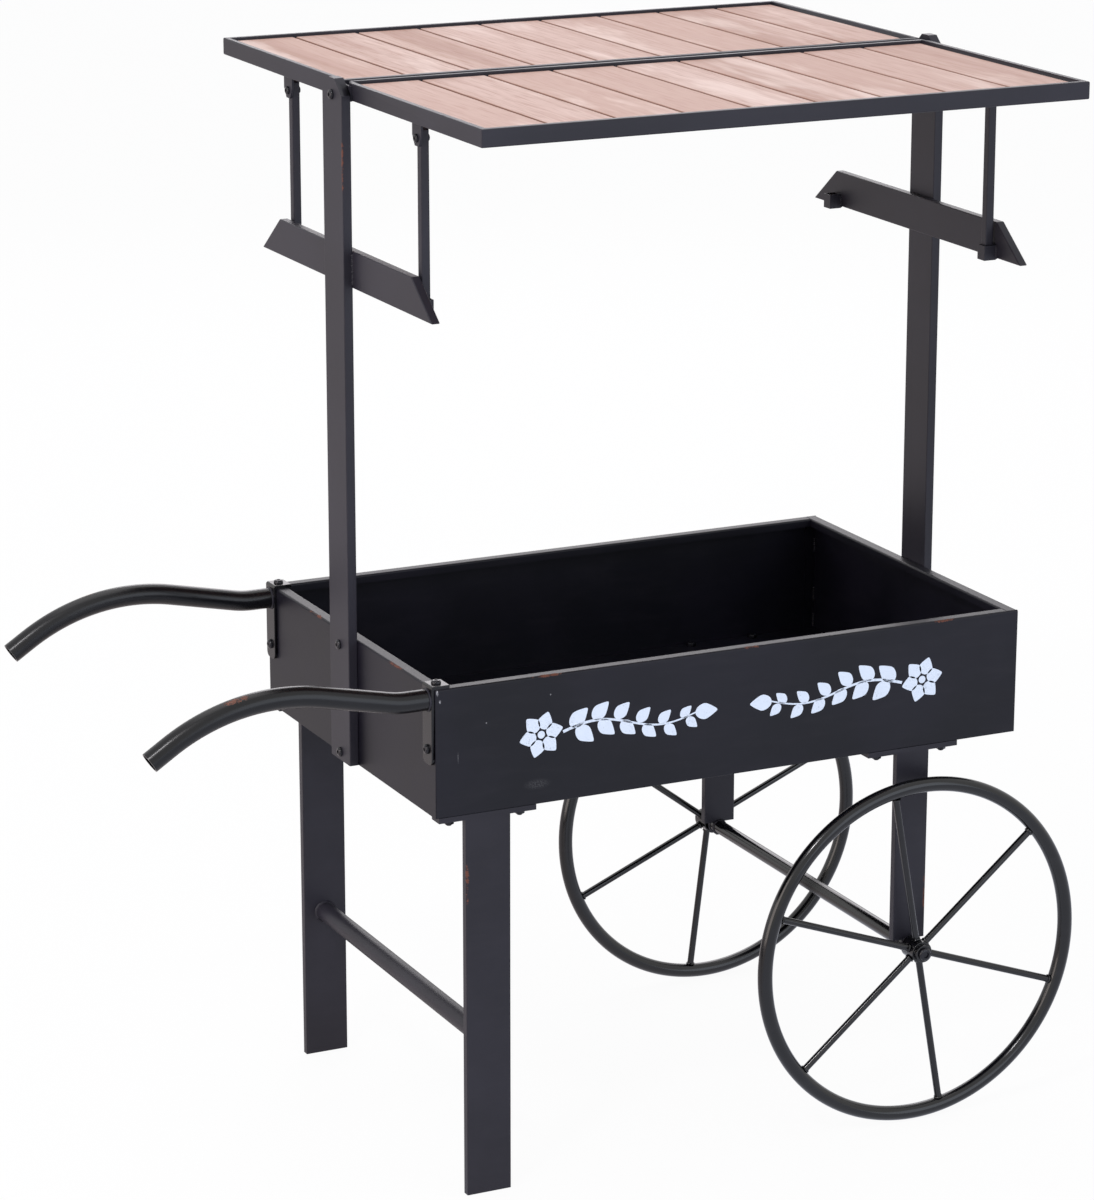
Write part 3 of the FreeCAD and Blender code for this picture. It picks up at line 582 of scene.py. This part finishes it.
for node, (body, *make) in boltMake.items():
    bolts, models = [], {}
    for low, high in solidsOf(node):
        reach = high - low
        axis = max(range(3), key=lambda number: reach[number])
        middle = (low + high) / 2
        towards = Vector((0, 0, 0))
        towards[axis] = 1 if middle[axis] > boltShape["middle"][axis] else -1
        length = round(reach[axis], 5)
        if length in models:
            bolt = twin(models[length], "bolt")
        else:
            bolt = (nuttedBolt if node == "leg_bolts" else roundBolt)(reach[axis], *make)
            models[length] = bolt
        turn = towards.to_track_quat("Z", "Y").to_matrix().to_4x4()
        seat = middle + towards * (reach[axis] / 2 - make[1])
        bolt.matrix_world = Matrix.Translation(seat) @ turn
        bolts.append(bolt)
    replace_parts(settled(gathered(bolts, node + "_round"), steel, body, 35), node)
print("bolts done")

# weld beads
weldMake = {
    "spoke": (0.0032, 0.0013), "stretcher": (0.0095, 0.0017), "axle": (0.0071, 0.0014),
    "handle": (0.0096, 0.0014), "blob": 0.0014, "angles": {"front": 40, "back": 23},
    "spokeReach": (0.0112, 0.1563), "legY": (0.1875, 0.1963), "handleZ": 0.477, "armY": 0.0215,
    "cornerZ": (0.372, 0.400, 0.452), "cornerRun": 0.012,
}


def bead(spot, way, radius, thick):
    # lumpy ring round a bar that runs along the given way
    bpy.ops.object.select_all(action="DESELECT")
    turn = Vector(way).to_track_quat("Z", "Y").to_euler()
    bpy.ops.mesh.primitive_torus_add(location=spot, rotation=turn, major_radius=radius,
                                     minor_radius=thick, major_segments=16, minor_segments=6)
    ring = bpy.context.object
    for number, point in enumerate(ring.data.vertices):
        lump = sin(number * 2.4) * sin(number * 0.37 + spot[0] * 90)
        point.co += point.normal * thick * 0.3 * lump
    return ring


def blobRow(start, end):
    # row of small overlapping drops between two places
    start, end = Vector(start), Vector(end)
    count = max(2, int((end - start).length / (weldMake["blob"] * 1.25)))
    row = []
    for step in range(count + 1):
        spot = start.lerp(end, step / count)
        bpy.ops.object.select_all(action="DESELECT")
        radius = weldMake["blob"] * (1 + 0.18 * sin(step * 2.3))
        bpy.ops.mesh.primitive_ico_sphere_add(subdivisions=2, location=spot, radius=radius)
        row.append(bpy.context.object)
    return row


for side in ("front", "back"):
    low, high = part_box("wheel_rim_" + side)
    centre = (low + high) / 2
    rings = []
    for step in range(6):
        angle = radians(weldMake["angles"][side] + 60 * step)
        way = Vector((cos(angle), 0, sin(angle)))
        for reach in weldMake["spokeReach"]:
            rings.append(bead(centre + way * reach, way, *weldMake["spoke"]))
    settled(gathered(rings, "wheel_welds_" + side), wheelPaint, "wheel_" + side, 60)

rings = []
stretcher, axle = (sum(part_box(node), Vector()) / 2 for node in ("leg_stretcher", "wheel_axle"))
for side, sideY in (("front", -1), ("back", 1)):
    rings.append(bead((stretcher.x, sideY * weldMake["legY"][0], stretcher.z), (0, 1, 0),
                      *weldMake["stretcher"]))
    for y in weldMake["legY"]:
        rings.append(bead((axle.x, sideY * y, axle.z), (0, 1, 0), *weldMake["axle"]))
    low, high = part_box("handle_strap_" + side)
    rings.append(bead((low.x - 0.0004, (low.y + high.y) / 2, weldMake["handleZ"]), (1, 0, 0),
                      *weldMake["handle"]))
for low, high in solidsOf("prop_cups"):
    # the cups lie inside the arms, with their outer face on the arm
    face = high.x if low.x > 0 else low.x
    for y in (low.y, high.y):
        rings += blobRow((face, y, low.z + 0.002), (face, y, high.z - 0.002))
for node in ("cross_arm_left", "cross_arm_right"):
    low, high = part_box(node)
    face = low.x if node.endswith("left") else high.x
    for y in (-weldMake["armY"], weldMake["armY"]):
        rings += blobRow((face, y, low.z + 0.004), (face, y, high.z - 0.004))
settled(gathered(rings, "frame_welds"), framePaint, "base", 60)
low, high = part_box("tray_floor")
rings = []
for x in (low.x + 0.0005, high.x - 0.0005):
    for y in (low.y + 0.002, high.y - 0.002):
        for z in weldMake["cornerZ"]:
            rings += blobRow((x, y, z), (x, y, z + weldMake["cornerRun"]))
settled(gathered(rings, "tray_welds"), trayPaint, "base", 60)
print("welds done")

# wheel rims
rimMake = {"radius": 0.164, "tube": 0.007, "steps": 192, "sides": 28}
bpy.ops.object.select_all(action="DESELECT")
bpy.ops.mesh.primitive_torus_add(location=(0, 0, 0), rotation=(pi / 2, 0, 0),
                                 major_radius=rimMake["radius"], minor_radius=rimMake["tube"],
                                 major_segments=rimMake["steps"], minor_segments=rimMake["sides"])
rims = {"front": named("rim_round_front")}
rims["back"] = twin(rims["front"], "rim_round_back")
for side, rim in rims.items():
    low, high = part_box("wheel_rim_" + side)
    rim.location = (low + high) / 2
    settled(rim, wheelPaint, "wheel_" + side, 60)
    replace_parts(rim, "wheel_rim_" + side)
print("rims done")

# pull handles
handleMake = {
    "radius": 0.00975, "wall": 0.0015, "sides": 36, "stub": 0.019, "ease": 0.090, "rise": 12,
    "ramp": 0.065, "bow": 0.190, "droop": 33, "tip": 0.021, "bore": 0.03, "level": 0.477,
    "easeSteps": 6, "bowSteps": 26,
}


def pullHandle(side):
    make = handleMake
    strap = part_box("handle_strap_" + side)
    start = Vector((strap[0].x, (strap[0].y + strap[1].y) / 2, make["level"]))
    rise, droop = radians(make["rise"]), radians(make["droop"])
    bpy.ops.object.select_all(action="DESELECT")
    bpy.ops.mesh.primitive_circle_add(vertices=make["sides"], radius=make["radius"],
                                      location=start, rotation=(0, pi / 2, 0))
    piece = named("grip_" + side)
    bpy.ops.object.transform_apply(location=True, rotation=True, scale=True)
    bpy.context.tool_settings.mesh_select_mode = (True, False, False)
    bpy.ops.object.mode_set(mode="EDIT")
    bpy.ops.mesh.select_all(action="SELECT")
    spot = start.copy()
    heading = Vector((-1, 0, 0))

    def straight(length):
        bpy.ops.mesh.extrude_region_move(TRANSFORM_OT_translate={"value": heading * length})
        spot.xyz = spot + heading * length

    def turned(centre, angle, steps):
        bpy.ops.mesh.spin(steps=steps, angle=-angle, center=centre, axis=(0, 1, 0))
        turn = Matrix.Rotation(angle, 3, "Y")
        spot.xyz = centre + turn @ (spot - centre)
        heading.xyz = turn @ heading

    straight(make["stub"])
    turned(spot + Vector((0, 0, make["ease"])), rise, make["easeSteps"])
    straight(make["ramp"])
    under = Vector((-sin(rise), 0, -cos(rise)))
    turned(spot + under * make["bow"], -(rise + droop), make["bowSteps"])
    straight(make["tip"])
    # open end of the tube: in over the wall's thickness, then back down the bore
    bpy.ops.mesh.extrude_region_move()
    inner = (make["radius"] - make["wall"]) / make["radius"]
    bpy.ops.transform.resize(value=(inner, inner, inner), center_override=spot)
    bpy.ops.mesh.extrude_region_move(TRANSFORM_OT_translate={"value": heading * -make["bore"]})
    bpy.ops.mesh.edge_face_add()
    bpy.ops.mesh.select_all(action="SELECT")
    bpy.ops.mesh.remove_doubles(threshold=0.00001)
    bpy.ops.mesh.normals_make_consistent(inside=False)
    bpy.ops.object.mode_set(mode="OBJECT")
    return piece


for side in ("front", "back"):
    grip = settled(pullHandle(side), handlePaint, "base", 50)
    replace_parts(grip, "handle_" + side)
print("handles done")

# leafy sprigs on the front wall
sprigMake = {
    "left": (-0.114, 0.087), "right": (0.120, 0.325), "height": 0.433, "thick": 0.00025,
    "sink": 0.00002, "petals": 6, "petal": (0.0165, 0.0074), "petalTurn": 0.2, "petalGap": 0.0052,
    "flower": 0.022, "heart": 0.0036, "ends": 0.067, "pairs": 6, "leaf": (0.0225, 0.0078),
    "leafShrink": 0.45, "leafRoot": 0.0016, "leafStep": 0.045, "lean": 42, "stem": 0.0014,
    "stemBits": 24, "wave": 0.0065, "widest": 0.45, "sharpen": 0.62,
    "pale": (214, 226, 244), "faded": (120, 126, 140), "fadedTint": 0.35,
}
stencil = Paint("stencilPaint")
speckle = stencil.noise(700.0, 3.0, 0.6)
faded = stencil.noise(60.0, 3.0, 0.6)
thin = (faded * 0.5 + speckle * 0.6).step(0.62, 0.74)
stencilPaint = stencil.finish({
    "Base Color": stencil.mix(thin * sprigMake["fadedTint"], colour(*sprigMake["pale"]),
                              colour(*sprigMake["faded"])),
    "Roughness": 0.55 + speckle * 0.2, "Normal": stencil.bump(speckle, 0.2, 0.0001)})


def flatLeaf(name, length, width):
    # pointed outline in an upright plane, its root at the origin, pointing along +X
    bpy.ops.object.select_all(action="DESELECT")
    bpy.ops.mesh.primitive_circle_add(vertices=28, radius=0.5, fill_type="NGON",
                                      location=(0, 0, 0), rotation=(pi / 2, 0, 0))
    piece = named(name)
    bpy.ops.object.transform_apply(location=True, rotation=True, scale=True)
    for point in piece.data.vertices:
        along = point.co.x + 0.5
        beyond = max(0.0, along - sprigMake["widest"]) / (1 - sprigMake["widest"])
        sharpen = 1 - sprigMake["sharpen"] * beyond
        point.co = Vector((along * length, 0, point.co.z * 2 * width * sharpen))
    return piece


def sprig(name, span, flowerAtStart):
    make = sprigMake
    start, end = span if flowerAtStart else span[::-1]
    way = 1 if end > start else -1
    centre = Vector((start + way * make["flower"], 0, make["height"]))
    shapes = [flatLeaf("petal", *make["petal"])]
    shapes += [twin(shapes[0], "petal") for _ in range(make["petals"] - 1)]
    for step, petal in enumerate(shapes):
        turn = Matrix.Rotation(-2 * pi / make["petals"] * step - make["petalTurn"], 4, "Y")
        aside = Matrix.Translation((make["petalGap"], 0, 0))
        petal.matrix_world = Matrix.Translation(centre) @ turn @ aside
    bpy.ops.object.select_all(action="DESELECT")
    bpy.ops.mesh.primitive_circle_add(vertices=20, radius=make["heart"], fill_type="NGON",
                                      location=centre, rotation=(pi / 2, 0, 0))
    shapes.append(bpy.context.object)
    length = abs(end - start) - make["ends"]

    def stemAt(part):
        return Vector((centre.x + way * (make["flower"] + length * part), 0,
                       make["height"] + make["wave"] * sin(part * 2 * pi)))

    for step in range(make["stemBits"]):
        a, b = stemAt(step / make["stemBits"]), stemAt((step + 1) / make["stemBits"])
        bpy.ops.object.select_all(action="DESELECT")
        bpy.ops.mesh.primitive_plane_add(size=1, location=(0, 0, 0))
        bit = bpy.context.object
        slope = Matrix.Rotation(-((b - a).z / (b - a).x), 4, "Y")
        # the stem gets thinner away from the flower
        thick = make["stem"] * (1.9 - step / make["stemBits"])
        sizes = Matrix.Diagonal(((b - a).length * 1.06, 1, thick, 1))
        stood = Matrix.Rotation(pi / 2, 4, "X")
        bit.matrix_world = Matrix.Translation((a + b) / 2) @ slope @ sizes @ stood
        shapes.append(bit)
    for step in range(make["pairs"]):
        part = (step + 0.6) / make["pairs"]
        grow = 1.05 - make["leafShrink"] * part
        for up in (-1, 1):
            leaf = flatLeaf("leaf", make["leaf"][0] * grow, make["leaf"][1] * grow)
            lean = radians(make["lean"] if way > 0 else 180 - make["lean"])
            root = stemAt(part - (make["leafStep"] if up > 0 else 0))
            root.z += up * make["leafRoot"]
            leaf.matrix_world = Matrix.Translation(root) @ Matrix.Rotation(-up * lean, 4, "Y")
            shapes.append(leaf)
    last = flatLeaf("leaf", *make["leaf"])
    turn = Matrix.Rotation(0 if way > 0 else pi, 4, "Y")
    last.matrix_world = Matrix.Translation(stemAt(1.0)) @ turn
    shapes.append(last)
    piece = gathered(shapes, name)
    bpy.ops.object.transform_apply(location=True, rotation=True, scale=True)
    bpy.ops.object.mode_set(mode="EDIT")
    bpy.ops.mesh.select_all(action="SELECT")
    bpy.ops.transform.translate(value=(0, front - make["sink"], 0))
    bpy.ops.mesh.extrude_region_move(TRANSFORM_OT_translate={"value": (0, -make["thick"], 0)})
    bpy.ops.mesh.select_all(action="SELECT")
    bpy.ops.mesh.normals_make_consistent(inside=False)
    bpy.ops.object.mode_set(mode="OBJECT")
    return piece


for side in ("left", "right"):
    settled(sprig("sprig_" + side, sprigMake[side], side == "left"), stencilPaint, "base",
            30)
print("sprigs done")

# floor, light and camera
studio = {
    "floor": 40.0, "drop": 0.0004, "shade": (236, 236, 238), "fleck": (214, 214, 216),
    "world": 0.75, "backdrop": 0.94, "sides": 0.4,
    "warm": (0.81, 0.74, 0.75, 1), "cool": (0.86, 0.89, 1.0, 1),
    "key": ((-2.9, -0.5, 1.0), 2.2, 42.0, (1.0, 0.87, 0.80)),
    "fill": ((1.4, -3.4, 1.2), 2.4, 22.0, (0.74, 0.84, 1.0)),
    "top": ((0.2, 0.7, 3.2), 2.4, 16.0, (1.0, 0.97, 0.98)),
    "rear": ((1.7, 3.5, 2.1), 2.0, 26.0, (1.0, 0.95, 1.0)),
    "spark": ((-2.0, -1.6, 3.2), 0.4, 30.0, (1.0, 0.98, 1.0)),
}
bpy.ops.object.select_all(action="DESELECT")
bpy.ops.mesh.primitive_plane_add(size=studio["floor"], location=(0, 0, -studio["drop"]))
ground = named("studio_floor")
plain = Paint("floorPaint")
fine = plain.noise(40.0, 2.0, 0.5)
tone = plain.mix(fine * 0.04, colour(*studio["shade"]), colour(*studio["fleck"]))
matt = plain.add("BsdfPrincipled", {}, {"Base Color": tone, "Roughness": 0.9})
# in glossy paint the floor is warm left of the cart and cool in front of it
warmth = (plain.y - plain.x).step(-studio["sides"], studio["sides"])
sheen = plain.mix(warmth, studio["cool"], studio["warm"])
glossy = plain.ray("Glossy") * (1.0 - plain.ray("Camera"))
white = plain.add("Emission", {}, {
    "Color": plain.mix(glossy, (1, 1, 1, 1), sheen), "Strength": 1.0})
shown = plain.add("MixShader", {}, {0: plain.seen() * studio["backdrop"], 1: matt, 2: white})
plain.add("OutputMaterial", {}, {"Surface": shown})
ground.data.materials.append(plain.material)

world = bpy.data.worlds.new("studioWorld")
bpy.context.scene.world = world
sky = Paint("sky", world)
backdrop = sky.add("Background", {}, {"Color": (1, 1, 1, 1), "Strength": 1.0})
glow = sky.add("Background", {}, {"Color": (0.96, 0.97, 1, 1), "Strength": studio["world"]})
sky.add("OutputWorld", {}, {
    "Surface": sky.add("MixShader", {}, {0: sky.seen(), 1: glow, 2: backdrop})})

for name in ("key", "fill", "top", "rear", "spark"):
    place, size, power, tone = studio[name]
    data = bpy.data.lights.new(name + "Lamp", "AREA")
    data.size, data.energy, data.color = size, power, tone
    lamp = bpy.data.objects.new(name + "Lamp", data)
    lamp.location = place
    aim = Vector((0, 0, 0.5)) - lamp.location
    lamp.rotation_euler = aim.to_track_quat("-Z", "Y").to_euler()
    bpy.context.scene.collection.objects.link(lamp)

view = {"place": (-1.6667, -3.4861, 1.5890), "tilt": 74.225, "turn": -25.658, "lens": 140.28}
lens = bpy.data.cameras.new("photoCamera")
lens.sensor_fit, lens.sensor_width, lens.lens = "HORIZONTAL", 36.0, view["lens"]
camera = bpy.data.objects.new("photoCamera", lens)
camera.location = view["place"]
camera.rotation_euler = (radians(view["tilt"]), 0, radians(view["turn"]))
bpy.context.scene.collection.objects.link(camera)
bpy.context.scene.camera = camera
bpy.context.scene.view_settings.view_transform = "Standard"
print("studio done")

bpy.context.view_layer.update()
